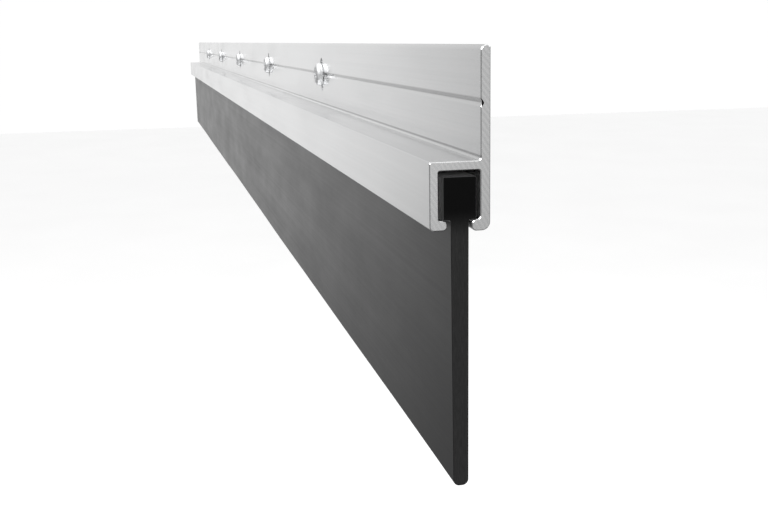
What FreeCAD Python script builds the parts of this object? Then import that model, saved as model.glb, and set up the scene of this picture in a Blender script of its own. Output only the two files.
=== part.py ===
"""Door sweep: an aluminium retainer that screws to the face of a door, and a black neoprene
insert that hangs in the retainer's channel and seals the gap under the door.

Frame, in millimetres: +X runs along the sweep, +Y points into the door, +Z is up. The origin is
at mid-length, on the retainer's door face, at the height of the drill line that the screws lie on.

The insert is one rubber extrusion. Rubber bends and a rigid solid can't, so it is modelled as two
nodes that meet at a hinge line just under the retainer's lips: the head, which stays in the
channel, and the blade, which swings.
"""

import FreeCAD
import Part

import math
import os

# Driving dimensions
LENGTH = 914.4  # a 36 inch sweep
LEG_THICKNESS = 1.75
WALL = 1.6  # the channel's roof and front
RETAINER_HEIGHT = 31.4
LEG_ABOVE_LINE = 9.65  # from the drill line up to the retainer's top edge
CHANNEL_DEPTH = 10.8  # from the door face to the channel's front
CHANNEL_HEIGHT = 12.1
LIP_THICKNESS = 2.0
FRONT_LIP_RAISE = 0.25  # the front lip's underside over the back lip's
LIP_MOUTH = 4.4  # gap between the two lips
GROOVE_WIDTH = 1.3  # the drill line, a V-groove down the leg's front
GROOVE_DEPTH = 0.45

BLADE_THICKNESS = 3.2
BLADE_TIP_THICKNESS = 2.8
BLADE_EXPOSED = 46.35  # from the lips down to the tip
HEAD_WIDTH = 5.95
HEAD_HEIGHT = 7.45
HEAD_REST_GAP = 0.05  # the head's shoulders over the lips
HINGE_BELOW_LIPS = 1.8  # the line that the blade swings about
SEAT_CLEARANCE = 0.05  # round the blade's knuckle
SEAT_HORN = 1.0  # how far the head's neck ends above the hinge line

SLOT_PITCH = 146.05
SLOT_COUNT = 5
SLOT_WIDTH = 4.0
SLOT_HEIGHT = 10.0

SCREW_RADIUS = 1.75  # over the thread of a 3.5 mm self-tapping screw
SCREW_NECK_RADIUS = 1.3  # the root of the thread
SCREW_LENGTH = 19.0  # under the head
SCREW_TIP = 3.2
SCREW_TIP_RADIUS = 0.15
SCREW_HEAD_RADIUS = 3.45
SCREW_HEAD_HEIGHT = 2.1
SCREW_HEAD_ROUND = 1.4  # the pan head's rounded rim
SCREW_HEAD_GAP = 0.05  # under the head, so that the sweep can slide on its screws
RECESS_RADIUS = 1.9
RECESS_FLOOR_RADIUS = 0.6
RECESS_DEPTH = 1.4
RECESS_BLADE = 0.8  # width of each arm of the cross recess

# Heights and depths that follow from them
TOP = LEG_ABOVE_LINE
BOTTOM = TOP - RETAINER_HEIGHT
CHANNEL_TOP = BOTTOM + CHANNEL_HEIGHT
LIP_TOP = BOTTOM + LIP_THICKNESS
FRONT_BOTTOM = BOTTOM + FRONT_LIP_RAISE
FRONT = -CHANNEL_DEPTH
LEG_FRONT = -LEG_THICKNESS
INSERT_CENTRE = (FRONT + WALL + LEG_FRONT) / 2  # the middle of the channel's inside
HINGE_HEIGHT = BOTTOM - HINGE_BELOW_LIPS
TIP_HEIGHT = BOTTOM - BLADE_EXPOSED

# Edge radii
TOP_FRONT_RADIUS = 1.15
TOP_BACK_RADIUS = 0.5
BOTTOM_BACK_RADIUS = 1.5
CHANNEL_TOP_RADIUS = 0.4
CORNER_RADIUS = 0.55  # where the leg meets the top of the channel
CHANNEL_BOTTOM_RADIUS = 0.8
LIP_RADIUS = 0.8
INNER_RADIUS = 0.3
BACK_LIP_INNER_RADIUS = 0.7
GROOVE_RADIUS = 0.12
RUBBER_EDGE_RADIUS = 0.2
NECK_RADIUS = 0.4
TIP_RADIUS = 1.15

START = FreeCAD.Vector(-LENGTH / 2, 0, 0)
ALONG = FreeCAD.Vector(LENGTH, 0, 0)
NO_LENGTH = 1e-6
CUT_PAST = 1.0  # how far a cutter stands out of each face it cuts


def rounded_face(corners):
    """A face in the YZ plane at the sweep's left end. Each corner is (y, z, radius)."""
    points = [FreeCAD.Vector(START.x, y, z) for y, z, _ in corners]
    count = len(corners)
    arcs = []
    for i, (_, _, radius) in enumerate(corners):
        before = (points[i - 1] - points[i]).normalize()
        after = (points[(i + 1) % count] - points[i]).normalize()
        half = before.getAngle(after) / 2
        reach = radius / math.tan(half)
        start = points[i] + before * reach
        end = points[i] + after * reach
        bisector = (before + after).normalize()
        middle = points[i] + bisector * (radius / math.sin(half) - radius)
        arcs.append((start, middle, end))
    edges = []
    for i, (start, middle, end) in enumerate(arcs):
        if (end - start).Length > NO_LENGTH:
            edges.append(Part.Arc(start, middle, end).toShape())
        following = arcs[(i + 1) % count][0]
        if (following - end).Length > NO_LENGTH:
            edges.append(Part.LineSegment(end, following).toShape())
    return Part.Face(Part.Wire(edges))


def extrusion(corners):
    return rounded_face(corners).extrude(ALONG)


def screw_places():
    middle = (SLOT_COUNT - 1) / 2
    return [(i - middle) * SLOT_PITCH for i in range(SLOT_COUNT)]


def slot_cutter(x):
    """An upright slot through the leg, round at both ends."""
    radius = SLOT_WIDTH / 2
    end = SLOT_HEIGHT / 2 - radius
    near = LEG_FRONT - CUT_PAST
    depth = LEG_THICKNESS + 2 * CUT_PAST
    corner = FreeCAD.Vector(x - radius, near, -end)
    cutter = Part.makeBox(SLOT_WIDTH, depth, 2 * end, corner)
    for z in (-end, end):
        centre = FreeCAD.Vector(x, near, z)
        round_end = Part.makeCylinder(radius, depth, centre, FreeCAD.Vector(0, 1, 0))
        cutter = cutter.fuse(round_end)
    return cutter.removeSplitter()


def retainer():
    """The extruded aluminium rail: a flat leg for the screws, and the channel under it."""
    mouth_front = INSERT_CENTRE - LIP_MOUTH / 2
    mouth_back = INSERT_CENTRE + LIP_MOUTH / 2
    channel_front = FRONT + WALL
    channel_roof = CHANNEL_TOP - WALL
    leg = [
        (0, BOTTOM, BOTTOM_BACK_RADIUS),
        (0, TOP, TOP_BACK_RADIUS),
        (LEG_FRONT, TOP, TOP_FRONT_RADIUS),
    ]
    drill_line = [
        (LEG_FRONT, GROOVE_WIDTH / 2, GROOVE_RADIUS),
        (LEG_FRONT + GROOVE_DEPTH, 0, GROOVE_RADIUS),
        (LEG_FRONT, -GROOVE_WIDTH / 2, GROOVE_RADIUS),
    ]
    channel_outside = [
        (LEG_FRONT, CHANNEL_TOP, CORNER_RADIUS),
        (FRONT, CHANNEL_TOP, CHANNEL_TOP_RADIUS),
        (FRONT, FRONT_BOTTOM, CHANNEL_BOTTOM_RADIUS),
    ]
    front_lip = [
        (mouth_front, FRONT_BOTTOM, LIP_RADIUS),
        (mouth_front, LIP_TOP, LIP_RADIUS),
    ]
    channel_inside = [
        (channel_front, LIP_TOP, INNER_RADIUS),
        (channel_front, channel_roof, INNER_RADIUS),
        (LEG_FRONT, channel_roof, INNER_RADIUS),
        (LEG_FRONT, LIP_TOP, BACK_LIP_INNER_RADIUS),
    ]
    back_lip = [
        (mouth_back, LIP_TOP, LIP_RADIUS),
        (mouth_back, BOTTOM, LIP_RADIUS),
    ]
    rail = extrusion(
        leg + drill_line + channel_outside + front_lip + channel_inside + back_lip
    )
    return rail.cut([slot_cutter(x) for x in screw_places()])


def insert_head():
    """The insert's T-shaped head and its neck, which passes between the lips."""
    half_head = HEAD_WIDTH / 2
    half_neck = BLADE_THICKNESS / 2
    shoulder = LIP_TOP + HEAD_REST_GAP
    neck_end = HINGE_HEIGHT + SEAT_HORN
    right_side = [
        (INSERT_CENTRE + half_head, shoulder + HEAD_HEIGHT, RUBBER_EDGE_RADIUS),
        (INSERT_CENTRE + half_head, shoulder, RUBBER_EDGE_RADIUS),
        (INSERT_CENTRE + half_neck, shoulder, NECK_RADIUS),
        (INSERT_CENTRE + half_neck, neck_end, 0),
    ]
    left_side = [(2 * INSERT_CENTRE - y, z, r) for y, z, r in reversed(right_side)]
    head = extrusion(right_side + left_side)
    hinge_line = FreeCAD.Vector(START.x, INSERT_CENTRE, HINGE_HEIGHT)
    seat_radius = half_neck + SEAT_CLEARANCE
    seat = Part.makeCylinder(seat_radius, LENGTH, hinge_line, FreeCAD.Vector(1, 0, 0))
    return head.cut(seat)


def insert_blade():
    """The blade under the lips: a round knuckle on the hinge line, a flat web and a soft tip."""
    half = BLADE_THICKNESS / 2
    half_tip = BLADE_TIP_THICKNESS / 2
    right_side = [
        (INSERT_CENTRE + half, HINGE_HEIGHT + half, half),
        (INSERT_CENTRE + half, HINGE_HEIGHT, 0),
        (INSERT_CENTRE + half_tip, TIP_HEIGHT, TIP_RADIUS),
    ]
    left_side = [(2 * INSERT_CENTRE - y, z, r) for y, z, r in reversed(right_side)]
    return extrusion(right_side + left_side)


def cross_recess(head_top):
    """The screwdriver recess: a cross that narrows towards its floor."""
    cone = Part.makeCone(
        RECESS_RADIUS,
        RECESS_FLOOR_RADIUS,
        RECESS_DEPTH,
        FreeCAD.Vector(0, head_top, 0),
        FreeCAD.Vector(0, 1, 0),
    )
    wide = 2 * RECESS_RADIUS
    sizes = ((wide, RECESS_BLADE), (RECESS_BLADE, wide))
    arms = []
    for width, height in sizes:
        corner = FreeCAD.Vector(-width / 2, head_top, -height / 2)
        arms.append(Part.makeBox(width, RECESS_DEPTH, height, corner))
    return arms[0].fuse(arms[1]).common(cone)


def screw(x):
    """A pan-head self-tapping screw on the drill line, with its thread as a plain cylinder."""
    seat = LEG_FRONT - SCREW_HEAD_GAP
    head_top = seat - SCREW_HEAD_HEIGHT
    shoulder = seat + LEG_THICKNESS + 2 * SCREW_HEAD_GAP
    tip = seat + SCREW_LENGTH
    at = FreeCAD.Vector
    crown = SCREW_HEAD_RADIUS - SCREW_HEAD_ROUND
    bulge = SCREW_HEAD_ROUND * math.sqrt(0.5)
    dome_start = at(0, head_top + SCREW_HEAD_ROUND, SCREW_HEAD_RADIUS)
    dome_middle = at(0, head_top + SCREW_HEAD_ROUND - bulge, crown + bulge)
    dome_end = at(0, head_top, crown)
    outline = [
        at(0, head_top, 0),
        at(0, tip, 0),
        at(0, tip, SCREW_TIP_RADIUS),
        at(0, tip - SCREW_TIP, SCREW_RADIUS),
        at(0, shoulder, SCREW_RADIUS),
        at(0, shoulder, SCREW_NECK_RADIUS),
        at(0, seat, SCREW_NECK_RADIUS),
        at(0, seat, SCREW_HEAD_RADIUS),
        dome_start,
    ]
    edges = [Part.Arc(dome_start, dome_middle, dome_end).toShape()]
    edges.append(Part.LineSegment(dome_end, outline[0]).toShape())
    for start, end in zip(outline, outline[1:]):
        edges.append(Part.LineSegment(start, end).toShape())
    face = Part.Face(Part.Wire(Part.sortEdges(edges)[0]))
    body = face.revolve(at(0, 0, 0), at(0, 1, 0), 360)
    body = body.cut(cross_recess(head_top))
    body.translate(at(x, 0, 0))
    return body


def save(name, shape):
    """Writes one node, and says what it is, so that a broken solid shows."""
    shape.exportStep(f"parts/{name}.step")
    box = shape.BoundBox
    size = f"{box.XLength:.2f} x {box.YLength:.2f} x {box.ZLength:.2f}"
    print(f"{name}: {len(shape.Solids)} solid, valid {shape.isValid()}, {size} mm")


os.makedirs("parts", exist_ok=True)
save("retainer", retainer())
save("insert_head", insert_head())
save("insert_blade", insert_blade())
for number, place in enumerate(screw_places(), start=1):
    save(f"screw_{number}", screw(place))
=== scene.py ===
import math

import bmesh
import bpy
from mathutils import Euler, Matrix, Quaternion, Vector


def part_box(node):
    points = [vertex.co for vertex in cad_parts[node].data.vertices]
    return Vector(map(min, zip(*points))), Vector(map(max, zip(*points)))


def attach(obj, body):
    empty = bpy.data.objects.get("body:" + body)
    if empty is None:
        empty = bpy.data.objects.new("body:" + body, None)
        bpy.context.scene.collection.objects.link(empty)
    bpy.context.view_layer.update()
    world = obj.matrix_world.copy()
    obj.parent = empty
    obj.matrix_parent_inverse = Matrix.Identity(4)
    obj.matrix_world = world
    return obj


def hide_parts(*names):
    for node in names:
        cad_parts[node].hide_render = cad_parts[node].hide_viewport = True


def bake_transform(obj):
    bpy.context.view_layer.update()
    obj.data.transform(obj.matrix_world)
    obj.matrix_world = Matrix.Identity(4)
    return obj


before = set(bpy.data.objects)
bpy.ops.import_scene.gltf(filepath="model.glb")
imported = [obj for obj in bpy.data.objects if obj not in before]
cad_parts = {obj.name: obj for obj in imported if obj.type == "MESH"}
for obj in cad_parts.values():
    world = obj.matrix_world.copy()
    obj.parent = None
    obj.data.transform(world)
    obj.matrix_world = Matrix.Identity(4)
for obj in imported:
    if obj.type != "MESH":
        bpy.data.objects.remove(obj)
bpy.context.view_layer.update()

# Lengths are millimetres in the outlines, and meshes are made in metres.
MM = 0.001

# The section of the retainer and the insert, as the frame has it
LEG_THICKNESS = 1.75
WALL = 1.6
CHANNEL_HEIGHT = 12.1
LIP_THICKNESS = 2.0
FRONT_LIP_RAISE = 0.25
LIP_MOUTH = 4.4
GROOVE_WIDTH = 1.3
GROOVE_DEPTH = 0.45
BLADE_THICKNESS = 3.2
BLADE_TIP_THICKNESS = 2.8
HEAD_WIDTH = 5.95
HEAD_HEIGHT = 7.45
HEAD_REST_GAP = 0.05
SLOT_WIDTH = 4.0
SLOT_HEIGHT = 10.0

# Edge radii
TOP_FRONT_RADIUS = 1.15
TOP_BACK_RADIUS = 0.5
BOTTOM_BACK_RADIUS = 1.5
CHANNEL_TOP_RADIUS = 0.4
CORNER_RADIUS = 0.55
CHANNEL_BOTTOM_RADIUS = 0.8
LIP_RADIUS = 0.8
INNER_RADIUS = 0.3
BACK_LIP_INNER_RADIUS = 0.7
GROOVE_RADIUS = 0.12
RUBBER_EDGE_RADIUS = 0.2
NECK_RADIUS = 0.4
TIP_RADIUS = 1.15
SAWN_EDGE = 0.17  # the filed edge round the retainer's cut ends
RUBBER_END_EDGE = 0.1
SLOT_EDGE = 0.2  # the broken edge round the slots
ARC_STEP = math.radians(9)
SLOT_END_STEPS = 14
CUTTER_MARGIN = 1  # how far a cutter reaches past the surface it cuts
SHARP_ANGLE = 32

# The screws, 3.5 mm self-tapping, pan head
THREAD_RADIUS = 1.75
ROOT_RADIUS = 1.3
THREAD_PITCH = 1.3
THREAD_FLANK = 0.3
POINT_LENGTH = 3.2
POINT_RADIUS = 0.12
SCREW_HEAD_HEIGHT = 2.1
SCREW_HEAD_ROUND = 1.4
SCREW_HEAD_EDGE = 0.18
RECESS_RADIUS = 1.85
RECESS_FLOOR_RADIUS = 0.75
RECESS_DEPTH = 1.4
RECESS_ARM = 0.78
RECESS_FLOOR_ARM = 0.5
RECESS_POINT = 0.3
CROSS_CORNERS = 12
SEAT_FILLET = 0.12
HEAD_ROUND_STEPS = 8
HEAD_EDGE_STEPS = 3
BARE_SHARE = 0.7  # the part of the leg's thickness that the shank crosses before its thread
CREST_SHARPNESS = 1.15
SCREW_SHARP_ANGLE = 40
THREAD_ROWS = 300
THREAD_COLUMNS = 40
SCREW_TURNS = {"screw_1": 12, "screw_2": 71, "screw_3": 38, "screw_4": 55, "screw_5": 24}

# The rows down the blade below the lips, over which it thins to its tip, and its slight waviness
FLEX_START_BELOW_LIPS = 0.35
FLEX_LENGTH = 3.4
FLEX_ROW = 0.4
RUBBER_RINGS = 72
WAVE_HEIGHT = 0.16
WAVES = [(61.0, 1.1, 0.6), (23.0, 2.0, 0.25)]  # (length, phase, share)

# Camera, in metres and degrees, with its lens in millimetres
CAMERA_PLACE = (0.62979, -0.05662, 0.01098)
CAMERA_YAW = 12.35
CAMERA_PITCH = -11.56
CAMERA_ROLL = -1.02
LENS = 50.0

# The studio's brightness, and the degrees over which it changes
END_WALL_TONE = 0.85
SIDE_WALL_TONE = 0.25
CEILING_TONE = 0.8
GROUND_TONE = 0.22
END_WALL_FADE = (6.0, 30.0)
CEILING_FADE = (5.0, 45.0)
GROUND_FADE = (-15.0, -60.0)

# Surfaces: the middle range of a noise, and the (least, most) roughness across it
NOISE_RANGE = (0.3, 0.7)
RUBBER_NOISE_RANGE = (0.35, 0.7)
SKIN_ROUGHNESS = (0.16, 0.24)
SAWN_ROUGHNESS = (0.2, 0.32)
RUBBER_ROUGHNESS = (0.32, 0.42)
RUBBER_CUT_ROUGHNESS = (0.62, 0.75)
ZINC_ROUGHNESS = (0.5, 0.62)
# Painted shade along the groove's upper flank and in the leg's inner corner: its tone, and the most of
# it that is mixed in
PAINTED_SHADE_TONE = 0.03
PAINTED_SHADE_SHARE = 0.5
# Painted light on the insert's head inside the channel: its pale tones, and the roughness added there
HEAD_PAINTED_LIGHT_TONES = (0.6, 0.75)
HEAD_PAINTED_LIGHT_ROUGHNESS = 0.3

FLOOR_HEIGHT = -1.2
FLOOR_SIZE = 30.0
DOME_RADIUS = 40.0

# The lamps, all aimed at the sweep: (name, place, size, watts)
LAMPS = [
    ("key", (1.2, -2.0, 1.8), 1.6, 34),
    ("top", (-0.4, -0.3, 2.4), 2.0, 28),
    ("back", (0.3, 2.2, 1.2), 1.6, 26),
]


# ---------------------------------------------------------------- outlines and meshes


def unit(vector):
    length = math.hypot(*vector)
    return (vector[0] / length, vector[1] / length)


def rounded_outline(corners):
    """Points (y, z) round a closed outline whose corners are (y, z, radius)."""
    points = []
    count = len(corners)
    for i, (y, z, radius) in enumerate(corners):
        before_y, before_z, _ = corners[i - 1]
        after_y, after_z, _ = corners[(i + 1) % count]
        before = unit((before_y - y, before_z - z))
        after = unit((after_y - y, after_z - z))
        if radius == 0:
            points.append((y, z))
            continue
        cosine = before[0] * after[0] + before[1] * after[1]
        half = math.acos(max(-1.0, min(1.0, cosine))) / 2
        bisector = unit((before[0] + after[0], before[1] + after[1]))
        centre_y = y + bisector[0] * radius / math.sin(half)
        centre_z = z + bisector[1] * radius / math.sin(half)
        reach = radius / math.tan(half)
        first = (y + before[0] * reach - centre_y, z + before[1] * reach - centre_z)
        last = (y + after[0] * reach - centre_y, z + after[1] * reach - centre_z)
        start = math.atan2(first[1], first[0])
        turn = math.atan2(last[1], last[0]) - start
        turn = (turn + math.pi) % (2 * math.pi) - math.pi
        steps = max(2, math.ceil(abs(turn) / ARC_STEP))
        for k in range(steps + 1):
            angle = start + turn * k / steps
            point = (centre_y + radius * math.cos(angle), centre_z + radius * math.sin(angle))
            points.append(point)
    return points


def inset(outline, distance):
    """The outline moved inwards by a distance. It runs with its inside on its left."""
    moved = []
    count = len(outline)
    for i, (y, z) in enumerate(outline):
        before_y, before_z = outline[i - 1]
        after_y, after_z = outline[(i + 1) % count]
        arriving = unit((y - before_y, z - before_z))
        leaving = unit((after_y - y, after_z - z))
        normal = unit((-arriving[1] - leaving[1], arriving[0] + leaving[0]))
        moved.append((y + normal[0] * distance, z + normal[1] * distance))
    return moved


def left_handed(outline):
    """The outline, turned round if need be, so that its inside is on its left."""
    area = 0
    for (y, z), (next_y, next_z) in zip(outline, outline[1:] + outline[:1]):
        area += y * next_z - next_y * z
    return outline if area > 0 else outline[::-1]


def sawn_rings(outline, low_x, high_x, stations, edge):
    """The outline at each station from low_x to high_x, drawn in at both ends by a flat filed edge."""
    drawn_in = inset(outline, edge)
    rings = [(low_x, drawn_in), (low_x + edge, outline)]
    for x in stations:
        rings.append((x, outline))
    return rings + [(high_x - edge, outline), (high_x, drawn_in)]


def new_object(name, mesh):
    thing = bpy.data.objects.new(name, mesh)
    bpy.context.scene.collection.objects.link(thing)
    return thing


def mesh_from(name, vertices, faces, end_faces=()):
    """A mesh in metres from millimetres. end_faces get the second material."""
    mesh = bpy.data.meshes.new(name)
    scaled = [(x * MM, y * MM, z * MM) for x, y, z in vertices]
    mesh.from_pydata(scaled, [], list(faces) + list(end_faces))
    for polygon in mesh.polygons[len(faces):]:
        polygon.material_index = 1
    mesh.validate()
    work = bmesh.new()
    work.from_mesh(mesh)
    bmesh.ops.recalc_face_normals(work, faces=work.faces)
    work.to_mesh(mesh)
    work.free()
    return mesh


def strips(rows, count):
    """The four-sided faces between each closed row of count points and the next row."""
    faces = []
    for i in range(rows - 1):
        for j in range(count):
            k = (j + 1) % count
            faces.append((i * count + j, i * count + k, (i + 1) * count + k, (i + 1) * count + j))
    return faces


def lofted(name, rings, caps):
    """A closed mesh through rings (x, outline). caps lists the faces that close a ring's outline."""
    count = len(rings[0][1])
    vertices = [(x, y, z) for x, ring in rings for y, z in ring]
    faces = strips(len(rings), count)
    last = (len(rings) - 1) * count
    ends = [tuple(reversed(cap)) for cap in caps]
    ends += [tuple(last + i for i in cap) for cap in caps]
    return mesh_from(name, vertices, faces, ends)


def evaluated(thing):
    """Applies the modifiers of an object for good."""
    graph = bpy.context.evaluated_depsgraph_get()
    mesh = bpy.data.meshes.new_from_object(thing.evaluated_get(graph))
    thing.modifiers.clear()
    thing.data = mesh
    return thing


def smooth_edges(thing, limit=SHARP_ANGLE):
    """Smooth rounds beside truly flat faces."""
    thing.data.shade_smooth()
    thing.data.set_sharp_from_angle(angle=math.radians(limit))
    weighted = thing.modifiers.new("flat_faces", "WEIGHTED_NORMAL")
    weighted.keep_sharp = True
    return evaluated(thing)


def cut_away(thing, cutters):
    """Takes each cutter out of an object, and deletes the cutters."""
    for cutter in cutters:
        boolean = thing.modifiers.new(cutter.name, "BOOLEAN")
        boolean.operation = "DIFFERENCE"
        boolean.solver = "EXACT"
        boolean.object = cutter
        evaluated(thing)
        bpy.data.objects.remove(cutter)
    return thing


# ---------------------------------------------------------------- the retainer


def section_of_retainer(low, high):
    """The retainer's outline between its box's corners, in (y, z)."""
    front, bottom = low.y / MM, low.z / MM
    top = high.z / MM
    leg_front = -LEG_THICKNESS
    front_bottom = bottom + FRONT_LIP_RAISE
    channel_top = bottom + CHANNEL_HEIGHT
    lip_top = bottom + LIP_THICKNESS
    centre = (front + WALL + leg_front) / 2
    mouth_front = centre - LIP_MOUTH / 2
    mouth_back = centre + LIP_MOUTH / 2
    leg = [
        (0, bottom, BOTTOM_BACK_RADIUS),
        (0, top, TOP_BACK_RADIUS),
        (leg_front, top, TOP_FRONT_RADIUS),
    ]
    drill_line = [
        (leg_front, GROOVE_WIDTH / 2, GROOVE_RADIUS),
        (leg_front + GROOVE_DEPTH, 0, GROOVE_RADIUS),
        (leg_front, -GROOVE_WIDTH / 2, GROOVE_RADIUS),
    ]
    channel_outside = [
        (leg_front, channel_top, CORNER_RADIUS),
        (front, channel_top, CHANNEL_TOP_RADIUS),
        (front, front_bottom, CHANNEL_BOTTOM_RADIUS),
    ]
    front_lip = [(mouth_front, front_bottom, LIP_RADIUS), (mouth_front, lip_top, LIP_RADIUS)]
    channel_inside = [
        (front + WALL, lip_top, INNER_RADIUS),
        (front + WALL, channel_top - WALL, INNER_RADIUS),
        (leg_front, channel_top - WALL, INNER_RADIUS),
        (leg_front, lip_top, BACK_LIP_INNER_RADIUS),
    ]
    back_lip = [(mouth_back, lip_top, LIP_RADIUS), (mouth_back, bottom, LIP_RADIUS)]
    corners = leg + drill_line + channel_outside + front_lip + channel_inside + back_lip
    return left_handed(rounded_outline(corners))


def slot_cutter(x):
    """A slot through the leg at x, flared where it meets each face of the leg."""
    radius = SLOT_WIDTH / 2
    straight = SLOT_HEIGHT / 2 - radius
    levels = [
        (-LEG_THICKNESS - CUTTER_MARGIN, SLOT_EDGE + CUTTER_MARGIN),
        (-LEG_THICKNESS, SLOT_EDGE),
        (-LEG_THICKNESS + SLOT_EDGE, 0),
        (-SLOT_EDGE, 0),
        (0, SLOT_EDGE),
        (CUTTER_MARGIN, SLOT_EDGE + CUTTER_MARGIN),
    ]
    vertices = []
    for y, flare in levels:
        for side in (1, -1):
            for k in range(SLOT_END_STEPS + 1):
                angle = math.pi * k / SLOT_END_STEPS
                across = side * (radius + flare) * math.cos(angle)
                upright = side * (straight + (radius + flare) * math.sin(angle))
                vertices.append((x + across, y, upright))
    count = 2 * (SLOT_END_STEPS + 1)
    faces = strips(len(levels), count)
    last = (len(levels) - 1) * count
    faces.append(tuple(reversed(range(count))))
    faces.append(tuple(range(last, last + count)))
    return new_object(f"slot_at_{x:.0f}", mesh_from("slot", vertices, faces))


def make_retainer(skin, cut):
    low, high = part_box("retainer")
    outline = section_of_retainer(low, high)
    rings = sawn_rings(outline, low.x / MM, high.x / MM, [], SAWN_EDGE)
    mesh = lofted("retainer_extrusion", rings, [tuple(range(len(outline)))])
    mesh.materials.append(skin)
    mesh.materials.append(cut)
    thing = new_object("retainer_extrusion", mesh)
    cutters = []
    for name in SCREW_TURNS:
        screw_low, screw_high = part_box(name)
        cutters.append(slot_cutter((screw_low.x + screw_high.x) / 2 / MM))
    cut_away(thing, cutters)
    smooth_edges(thing)
    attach(thing, "retainer")
    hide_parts("retainer")
    return thing


# ---------------------------------------------------------------- the rubber insert


def waved(y, z, x, lips, tip):
    """The blade's slight waviness, nothing at the lips and most at the tip."""
    share = max(0.0, (lips - z) / (lips - tip))
    wave = sum(math.sin(x / length + phase) * part for length, phase, part in WAVES)
    return y + WAVE_HEIGHT * share * share * wave


def make_insert(skin, cut):
    head_low, head_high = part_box("insert_head")
    blade_low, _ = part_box("insert_blade")
    centre = (head_low.y + head_high.y) / 2 / MM
    tip = blade_low.z / MM
    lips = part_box("retainer")[0].z / MM
    shoulder = lips + LIP_THICKNESS + HEAD_REST_GAP
    half_head = HEAD_WIDTH / 2
    half = BLADE_THICKNESS / 2
    flex_start = lips - FLEX_START_BELOW_LIPS
    rows = math.ceil(FLEX_LENGTH / FLEX_ROW)
    half_tip = BLADE_TIP_THICKNESS / 2
    flat = []
    for k in range(rows + 1):
        z = flex_start - FLEX_LENGTH * k / rows
        flat.append((half + (half_tip - half) * (flex_start - z) / (flex_start - tip), z, 0))
    half_corners = [
        (half_head, shoulder + HEAD_HEIGHT, RUBBER_EDGE_RADIUS),
        (half_head, shoulder, RUBBER_EDGE_RADIUS),
        (half, shoulder, NECK_RADIUS),
        *flat,
        (half_tip, tip, TIP_RADIUS),
    ]
    corners = half_corners + [(-y, z, r) for y, z, r in reversed(half_corners)]
    outline = left_handed(rounded_outline([(centre + y, z, r) for y, z, r in corners]))
    low_x, high_x = head_low.x / MM, head_high.x / MM
    pitch = (high_x - low_x) / RUBBER_RINGS
    stations = [low_x + pitch * k for k in range(1, RUBBER_RINGS)]
    rings = sawn_rings(outline, low_x, high_x, stations, RUBBER_END_EDGE)
    waved_rings = []
    for x, ring in rings:
        waved_rings.append((x, [(waved(y, z, x, lips, tip), z) for y, z in ring]))
    mesh = lofted("rubber_insert", waved_rings, [tuple(range(len(outline)))])
    mesh.materials.append(skin)
    mesh.materials.append(cut)
    thing = new_object("rubber_insert", mesh)
    smooth_edges(thing)
    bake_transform(thing)
    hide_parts("insert_head", "insert_blade")
    return thing


# ---------------------------------------------------------------- the screws


def thread_height(y, angle, start, shank_end, tip):
    """The thread's radius at a height along the screw and an angle round it."""
    root = ROOT_RADIUS
    crest = THREAD_RADIUS
    if y > shank_end:
        left = (tip - y) / (tip - shank_end)
        root = POINT_RADIUS + (ROOT_RADIUS - POINT_RADIUS) * left
        crest = POINT_RADIUS + (THREAD_RADIUS - POINT_RADIUS) * left
    run_in = min(1.0, max(0.0, (y - start) / THREAD_PITCH))
    along = (y - angle / (2 * math.pi) * THREAD_PITCH) % THREAD_PITCH
    off_crest = abs(along - THREAD_PITCH / 2)
    rise = max(0.0, 1 - off_crest / THREAD_FLANK)
    return root + (crest - root) * min(1.0, rise * CREST_SHARPNESS) * run_in


def make_screw_mesh(metal):
    """A pan-head self-tapping screw on the Y axis, where the frame has screw_3."""
    low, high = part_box("screw_3")
    head_radius = (high.x - low.x) / 2 / MM
    head_top = low.y / MM
    seat = head_top + SCREW_HEAD_HEIGHT
    tip = high.y / MM
    shank_end = tip - POINT_LENGTH
    crown = head_radius - SCREW_HEAD_ROUND
    profile = []
    for k in range(HEAD_ROUND_STEPS + 1):
        angle = math.pi / 2 * k / HEAD_ROUND_STEPS
        radius = crown + SCREW_HEAD_ROUND * math.sin(angle)
        profile.append((head_top + SCREW_HEAD_ROUND * (1 - math.cos(angle)), radius))
    for k in range(HEAD_EDGE_STEPS + 1):
        angle = math.pi / 2 * k / HEAD_EDGE_STEPS
        radius = head_radius - SCREW_HEAD_EDGE * (1 - math.cos(angle))
        profile.append((seat - SCREW_HEAD_EDGE * (1 - math.sin(angle)), radius))
    profile.append((seat, ROOT_RADIUS + SEAT_FILLET))
    profile.append((seat + SEAT_FILLET, ROOT_RADIUS))
    thread_start = seat + LEG_THICKNESS * BARE_SHARE
    for k in range(1, THREAD_ROWS + 1):
        y = seat + SEAT_FILLET + (tip - seat - SEAT_FILLET) * k / THREAD_ROWS
        profile.append((y, None))
    vertices = []
    for y, radius in profile:
        for j in range(THREAD_COLUMNS):
            angle = 2 * math.pi * j / THREAD_COLUMNS
            r = radius
            if r is None:
                r = thread_height(y, angle, thread_start, shank_end, tip)
            vertices.append((r * math.cos(angle), y, r * math.sin(angle)))
    faces = strips(len(profile), THREAD_COLUMNS)
    faces.append(tuple(range(THREAD_COLUMNS)))
    last = (len(profile) - 1) * THREAD_COLUMNS
    faces.append(tuple(range(last, last + THREAD_COLUMNS)))
    mesh = mesh_from("pan_head_screw", vertices, faces)
    mesh.materials.append(metal)
    thing = new_object("screw_blank", mesh)
    cut_away(thing, [recess_cutter(head_top)])
    smooth_edges(thing, SCREW_SHARP_ANGLE)
    mesh = thing.data
    bpy.data.objects.remove(thing)
    return mesh


def cross_outline(radius, arm):
    """The twelve corners of a cross with arms this long and wide."""
    half = arm / 2
    corners = []
    for k in range(4):
        angle = math.pi / 2 * k
        for along, across in ((half, -half), (radius, -half), (radius, half)):
            x = along * math.cos(angle) - across * math.sin(angle)
            z = along * math.sin(angle) + across * math.cos(angle)
            corners.append((x, z))
    return corners


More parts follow.
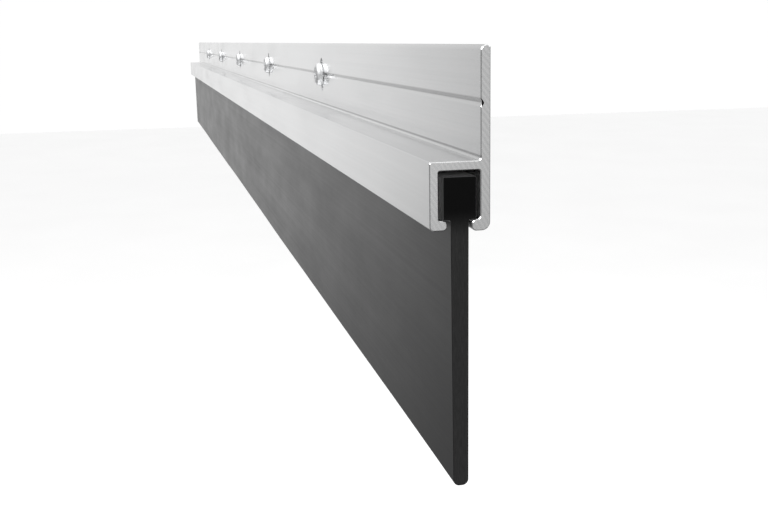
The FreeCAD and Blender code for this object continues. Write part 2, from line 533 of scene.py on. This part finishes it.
def recess_cutter(head_top):
    """The tapered cross that the screwdriver goes into, with a cone at its floor."""
    slope = (RECESS_RADIUS - RECESS_FLOOR_RADIUS) / RECESS_DEPTH
    levels = [
        (head_top - CUTTER_MARGIN, RECESS_RADIUS + slope, RECESS_ARM),
        (head_top, RECESS_RADIUS, RECESS_ARM),
        (head_top + RECESS_DEPTH, RECESS_FLOOR_RADIUS, RECESS_FLOOR_ARM),
    ]
    vertices = []
    for y, radius, arm in levels:
        for x, z in cross_outline(radius, arm):
            vertices.append((x, y, z))
    vertices.append((0, head_top + RECESS_DEPTH + RECESS_POINT, 0))
    faces = strips(len(levels), CROSS_CORNERS)
    last = (len(levels) - 1) * CROSS_CORNERS
    point = last + CROSS_CORNERS
    for j in range(CROSS_CORNERS):
        faces.append((last + j, last + (j + 1) % CROSS_CORNERS, point))
    faces.append(tuple(range(CROSS_CORNERS)))
    return new_object("recess", mesh_from("recess", vertices, faces))


def make_screws(metal):
    mesh = make_screw_mesh(metal)
    for name, turn in SCREW_TURNS.items():
        low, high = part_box(name)
        thing = new_object(f"{name}_pan_head", mesh)
        thing.location.x = (low.x + high.x) / 2
        thing.rotation_euler = Euler((0, math.radians(turn), 0))
        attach(thing, "screws")
        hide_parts(name)


# ---------------------------------------------------------------- node helpers


class Nodes:
    """Short names for building a node tree."""

    def __init__(self, tree):
        self.tree = tree
        tree.nodes.clear()

    def add(self, kind, inputs=None, **settings):
        node = self.tree.nodes.new(kind)
        for name, value in settings.items():
            setattr(node, name, value)
        for name, value in (inputs or {}).items():
            socket = node.inputs[name]
            if hasattr(value, "is_output"):
                self.tree.links.new(value, socket)
            else:
                socket.default_value = value
        return node

    def math(self, operation, *values):
        inputs = dict(enumerate(values))
        return self.add("ShaderNodeMath", inputs, operation=operation).outputs[0]

    def ease(self, value, low, high, to_low=0.0, to_high=1.0):
        """value between low and high, eased into the new range."""
        inputs = {0: value, 1: low, 2: high, 3: to_low, 4: to_high}
        node = self.add("ShaderNodeMapRange", inputs, interpolation_type="SMOOTHSTEP")
        return node.outputs[0]

    def spread(self, value, low, high, to_low, to_high):
        """value between low and high, spread evenly over the new range."""
        inputs = {0: value, 1: low, 2: high, 3: to_low, 4: to_high}
        return self.add("ShaderNodeMapRange", inputs).outputs[0]

    def noise(self, vector, size, detail=3.0, roughness=0.5):
        """Noise whose features measure size, a length or three of them, in metres."""
        sizes = size if isinstance(size, tuple) else (size, size, size)
        scale = [1 / s for s in sizes]
        mapped = self.add("ShaderNodeMapping", {"Vector": vector, "Scale": scale})
        inputs = {
            "Vector": mapped.outputs[0],
            "Scale": 1.0,
            "Detail": detail,
            "Roughness": roughness,
        }
        return self.add("ShaderNodeTexNoise", inputs).outputs["Fac"]

    def ramp(self, value, stops):
        """A colour ramp. Each stop is (place, grey) or (place, (r, g, b))."""
        node = self.add("ShaderNodeValToRGB", {"Fac": value})
        elements = node.color_ramp.elements
        while len(elements) < len(stops):
            elements.new(0.5)
        for element, (place, tone) in zip(elements, stops):
            element.position = place
            colour = tone if isinstance(tone, tuple) else (tone, tone, tone)
            element.color = (*colour, 1)
        return node.outputs["Color"]

    def mix(self, share, first, second):
        inputs = {"Factor": share, 6: first, 7: second}
        node = self.add("ShaderNodeMix", None, data_type="RGBA")
        for name, value in inputs.items():
            socket = node.inputs[name]
            if hasattr(value, "is_output"):
                self.tree.links.new(value, socket)
            else:
                socket.default_value = value
        return node.outputs[2]

    def bump(self, height, distance, strength=1.0, after=None):
        """A bump of a real height in metres, on top of another one if after is given."""
        inputs = {"Height": height, "Distance": distance, "Strength": strength}
        if after is not None:
            inputs["Normal"] = after
        return self.add("ShaderNodeBump", inputs).outputs[0]


def grey(tone):
    return (tone, tone, tone, 1)


def new_material(name):
    material = bpy.data.materials.new(name)
    material.use_nodes = True
    nodes = Nodes(material.node_tree)
    output = nodes.add("ShaderNodeOutputMaterial")
    shader = nodes.add("ShaderNodeBsdfPrincipled")
    nodes.tree.links.new(shader.outputs[0], output.inputs["Surface"])
    return material, nodes, shader


def wire(nodes, shader, **links):
    """Links or sets the shader's sockets. An underscore in a name stands for a space."""
    for name, value in links.items():
        socket = shader.inputs[name.replace("_", " ")]
        if hasattr(value, "is_output"):
            nodes.tree.links.new(value, socket)
        else:
            socket.default_value = value


# ---------------------------------------------------------------- materials


def aluminium_skin():
    """Mill-finish extrusion: die lines, soft clouding, handling marks, and painted shade along the
    groove's upper flank and in the inner corner.
    """
    material, nodes, shader = new_material("aluminium_extruded")
    place = nodes.add("ShaderNodeTexCoord").outputs["Object"]
    die_lines = nodes.noise(place, (0.9, 0.00022, 0.00022), 4.0, 0.65)
    broad_lines = nodes.noise(place, (1.4, 0.0016, 0.0016), 2.0)
    clouds = nodes.noise(place, (0.05, 0.012, 0.012), 4.0)
    marks = nodes.noise(place, (0.006, 0.0006, 0.0006), 6.0, 0.7)
    tone = nodes.math("MULTIPLY", die_lines, 0.5)
    tone = nodes.math("MULTIPLY_ADD", broad_lines, 0.5, tone)
    colour = nodes.ramp(tone, [(0.3, (0.84, 0.845, 0.85)), (0.7, (0.91, 0.912, 0.915))])
    _, depth, height = nodes.add("ShaderNodeSeparateXYZ", {0: place}).outputs
    # Painted shade: darkens the groove's upper flank and the leg just above the channel's top, where
    # shade falls.
    low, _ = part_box("retainer")
    corner = low.z + (CHANNEL_HEIGHT + CORNER_RADIUS + 0.1) * MM
    off_corner = nodes.math("ABSOLUTE", nodes.math("SUBTRACT", height, corner))
    in_corner = nodes.ease(off_corner, 0.0003, 0.0001)
    above_groove = nodes.ease(height, 0.00105, 0.0006)
    in_groove = nodes.math("MULTIPLY", nodes.ease(height, -0.0001, 0.0001), above_groove)
    painted_shade = nodes.math("MAXIMUM", in_corner, in_groove)
    painted_shade = nodes.math("MULTIPLY", painted_shade, nodes.ease(depth, -0.0008, -0.0012, 0.0, PAINTED_SHADE_SHARE))
    colour = nodes.mix(painted_shade, colour, grey(PAINTED_SHADE_TONE))
    roughness = nodes.spread(clouds, *NOISE_RANGE, *SKIN_ROUGHNESS)
    roughness = nodes.math("MULTIPLY_ADD", nodes.math("SUBTRACT", marks, 0.5), 0.03, roughness)
    grain = nodes.bump(die_lines, 0.000003)
    grain = nodes.bump(broad_lines, 0.000012, 1.0, grain)
    tangent = nodes.add("ShaderNodeTangent", None, direction_type="RADIAL", axis="X")
    wire(
        nodes,
        shader,
        Base_Color=colour,
        Metallic=1.0,
        Roughness=roughness,
        Anisotropic=0.6,
        Tangent=tangent.outputs[0],
        Normal=grain,
    )
    return material


def aluminium_cut():
    """The sawn ends: brighter, with the saw's shallow curved marks."""
    material, nodes, shader = new_material("aluminium_sawn")
    place = nodes.add("ShaderNodeTexCoord").outputs["Object"]
    tilted = nodes.add(
        "ShaderNodeMapping",
        {"Vector": place, "Location": (0, 0.08, 0.06), "Scale": (0, 1, 1)},
    ).outputs[0]
    waves = nodes.add(
        "ShaderNodeTexWave",
        {"Vector": tilted, "Scale": 420.0, "Distortion": 1.6, "Detail": 3.0, "Detail Scale": 1.4},
        wave_type="RINGS",
        rings_direction="X",
    ).outputs["Fac"]
    grain = nodes.noise(place, 0.00025, 4.0)
    colour = nodes.ramp(waves, [(0.0, (0.86, 0.865, 0.87)), (1.0, (0.93, 0.93, 0.93))])
    roughness = nodes.spread(grain, *NOISE_RANGE, *SAWN_ROUGHNESS)
    bump = nodes.bump(waves, 0.000004)
    bump = nodes.bump(grain, 0.000002, 1.0, bump)
    wire(nodes, shader, Base_Color=colour, Metallic=1.0, Roughness=roughness, Normal=bump)
    return material


def rubber_skin():
    """Extruded neoprene: black satin with faint lines, pebble and bloom, its head painted pale grey
    and made rougher, as painted light inside the channel.
    """
    material, nodes, shader = new_material("neoprene_extruded")
    place = nodes.add("ShaderNodeTexCoord").outputs["Object"]
    lines = nodes.noise(place, (0.5, 0.0006, 0.0006), 4.0, 0.6)
    pebble = nodes.noise(place, 0.00035, 3.0)
    bloom = nodes.noise(place, (0.04, 0.014, 0.014), 5.0, 0.6)
    tone = nodes.math("MULTIPLY_ADD", lines, 0.35, nodes.math("MULTIPLY", bloom, 0.65))
    colour = nodes.ramp(
        tone, [(0.35, (0.007, 0.007, 0.0072)), (0.7, (0.014, 0.014, 0.0145))]
    )
    along, _, height = nodes.add("ShaderNodeSeparateXYZ", {0: place}).outputs
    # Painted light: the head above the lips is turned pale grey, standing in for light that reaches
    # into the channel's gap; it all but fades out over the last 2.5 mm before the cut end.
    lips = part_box("retainer")[0].z + LIP_THICKNESS * MM
    head_painted_light = nodes.ease(height, lips - 0.0005, lips + 0.0004)
    end_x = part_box("insert_head")[1].x
    off_end = nodes.ease(nodes.math("ABSOLUTE", along), end_x, end_x - 0.0025, 0.05, 1.0)
    head_painted_light = nodes.math("MULTIPLY", head_painted_light, off_end)
    head_painted_light_tone = nodes.ramp(bloom, list(zip(NOISE_RANGE, HEAD_PAINTED_LIGHT_TONES)))
    colour = nodes.mix(head_painted_light, colour, head_painted_light_tone)
    roughness = nodes.spread(tone, *RUBBER_NOISE_RANGE, *RUBBER_ROUGHNESS)
    roughness = nodes.math("MULTIPLY_ADD", head_painted_light, HEAD_PAINTED_LIGHT_ROUGHNESS, roughness)
    bump = nodes.bump(pebble, 0.0000015)
    bump = nodes.bump(lines, 0.000002, 1.0, bump)
    tangent = nodes.add("ShaderNodeTangent", None, direction_type="RADIAL", axis="X")
    wire(
        nodes,
        shader,
        Base_Color=colour,
        Roughness=roughness,
        IOR=1.5,
        Specular_IOR_Level=0.22,
        Anisotropic=0.7,
        Tangent=tangent.outputs[0],
        Normal=bump,
    )
    return material


def rubber_cut():
    """The knife-cut end: matt, with fine drag marks, and painted shade making it near black inside the
    channel.
    """
    material, nodes, shader = new_material("neoprene_cut")
    place = nodes.add("ShaderNodeTexCoord").outputs["Object"]
    height = nodes.add("ShaderNodeSeparateXYZ", {0: place}).outputs[2]
    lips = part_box("retainer")[0].z
    # Painted shade: inside the channel the cut end is made near black; below the lips it keeps its
    # dark grey.
    out_of_painted_shade = nodes.ease(height, lips + 0.004, lips - 0.002)
    drag = nodes.noise(place, (0.001, 0.00012, 0.0016), 4.0, 0.6)
    grain = nodes.noise(place, 0.00018, 3.0)
    inside = nodes.ramp(grain, [(0.3, 0.0015), (0.7, 0.003)])
    outside = nodes.ramp(drag, [(0.3, 0.018), (0.7, 0.03)])
    colour = nodes.mix(out_of_painted_shade, inside, outside)
    bump = nodes.bump(drag, 0.00001)
    bump = nodes.bump(grain, 0.000006, 1.0, bump)
    wire(
        nodes,
        shader,
        Base_Color=colour,
        Roughness=nodes.spread(grain, *NOISE_RANGE, *RUBBER_CUT_ROUGHNESS),
        IOR=1.5,
        Specular_IOR_Level=0.1,
        Normal=bump,
    )
    return material


def zinc_steel():
    """Clear zinc plating: bright, faintly blue, with soft spangle and a worn look."""
    material, nodes, shader = new_material("zinc_steel")
    place = nodes.add("ShaderNodeTexCoord").outputs["Object"]
    spangle = nodes.noise(place, 0.0012, 4.0, 0.6)
    grain = nodes.noise(place, 0.00015, 3.0)
    colour = nodes.ramp(spangle, [(0.3, (0.82, 0.825, 0.835)), (0.7, (0.9, 0.905, 0.91))])
    roughness = nodes.spread(spangle, *NOISE_RANGE, *ZINC_ROUGHNESS)
    bump = nodes.bump(grain, 0.000004)
    wire(nodes, shader, Base_Color=colour, Metallic=1.0, Roughness=roughness, Normal=bump)
    return material


# ---------------------------------------------------------------- studio


def studio_world():
    """A plain studio: white end walls and ceiling, softly greyer to the sides and below."""
    world = bpy.data.worlds.new("studio")
    bpy.context.scene.world = world
    world.use_nodes = True
    nodes = Nodes(world.node_tree)
    direction = nodes.add("ShaderNodeTexCoord").outputs["Generated"]
    x, _, z = nodes.add("ShaderNodeSeparateXYZ", {0: direction}).outputs
    along = nodes.math("ABSOLUTE", x)
    off_axis = nodes.math("DEGREES", nodes.math("ARCCOSINE", along))
    elevation = nodes.math("DEGREES", nodes.math("ARCSINE", z))
    walls = nodes.ease(off_axis, *END_WALL_FADE, END_WALL_TONE, SIDE_WALL_TONE)
    tone = nodes.mix(nodes.ease(elevation, *CEILING_FADE), walls, grey(CEILING_TONE))
    tone = nodes.mix(nodes.ease(elevation, *GROUND_FADE), tone, grey(GROUND_TONE))
    background = nodes.add("ShaderNodeBackground", {"Color": tone, "Strength": 1.0})
    output = nodes.add("ShaderNodeOutputWorld")
    nodes.tree.links.new(background.outputs[0], output.inputs["Surface"])


def only_for_camera(thing):
    """Seen directly, but neither reflected nor lighting anything."""
    thing.visible_diffuse = False
    thing.visible_glossy = False
    thing.visible_transmission = False
    thing.visible_volume_scatter = False
    thing.visible_shadow = False


def backdrop():
    """A white dome all round, and a pale floor well below the sweep, which hangs from its door."""
    work = bmesh.new()
    bmesh.ops.create_uvsphere(work, u_segments=48, v_segments=24, radius=DOME_RADIUS)
    mesh = bpy.data.meshes.new("backdrop")
    work.to_mesh(mesh)
    work.free()
    dome = new_object("backdrop", mesh)
    material, nodes, shader = new_material("backdrop_white")
    wire(nodes, shader, Base_Color=(0, 0, 0, 1), Roughness=1.0, Emission_Strength=1.0)
    wire(nodes, shader, Emission_Color=(1, 1, 1, 1))
    material.cycles.emission_sampling = "NONE"
    mesh.materials.append(material)
    only_for_camera(dome)

    half = FLOOR_SIZE / 2
    corners = [(-half, -half), (half, -half), (half, half), (-half, half)]
    mesh = bpy.data.meshes.new("floor")
    mesh.from_pydata([(x, y, FLOOR_HEIGHT) for x, y in corners], [], [(0, 1, 2, 3)])
    floor = new_object("floor", mesh)
    material, nodes, shader = new_material("pale_floor")
    place = nodes.add("ShaderNodeTexCoord").outputs["Object"]
    colour = nodes.ramp(nodes.noise(place, 0.5), [(0.3, 0.9), (0.7, 0.93)])
    wire(nodes, shader, Base_Color=colour, Roughness=0.9, Emission_Strength=0.3)
    wire(nodes, shader, Emission_Color=(1, 1, 1, 1))
    material.cycles.emission_sampling = "NONE"
    mesh.materials.append(material)
    floor.visible_glossy = False
    floor.visible_shadow = False


def soft_light(name, place, size, watts):
    """A round area lamp aimed at the origin, hidden from the camera itself."""
    light = bpy.data.lights.new(name, "AREA")
    light.shape = "DISK"
    light.size = size
    light.energy = watts
    thing = new_object(name, light)
    thing.location = place
    towards = -Vector(place)
    thing.rotation_euler = towards.to_track_quat("-Z", "Y").to_euler()
    thing.visible_camera = False
    return thing


def studio_camera():
    data = bpy.data.cameras.new("camera")
    data.lens = LENS
    data.sensor_width = 36.0
    data.dof.use_dof = False
    camera = new_object("camera", data)
    camera.location = CAMERA_PLACE
    yaw, pitch = math.radians(CAMERA_YAW), math.radians(CAMERA_PITCH)
    forward = Vector(
        (-math.cos(pitch) * math.cos(yaw), math.cos(pitch) * math.sin(yaw), math.sin(pitch))
    )
    roll = Quaternion((0, 0, 1), math.radians(CAMERA_ROLL))
    camera.rotation_mode = "QUATERNION"
    camera.rotation_quaternion = forward.to_track_quat("-Z", "Y") @ roll
    bpy.context.scene.camera = camera


bpy.context.scene.view_settings.view_transform = "Standard"
studio_camera()
studio_world()
backdrop()
for lamp in LAMPS:
    soft_light(*lamp)

make_retainer(aluminium_skin(), aluminium_cut())
make_insert(rubber_skin(), rubber_cut())
make_screws(zinc_steel())
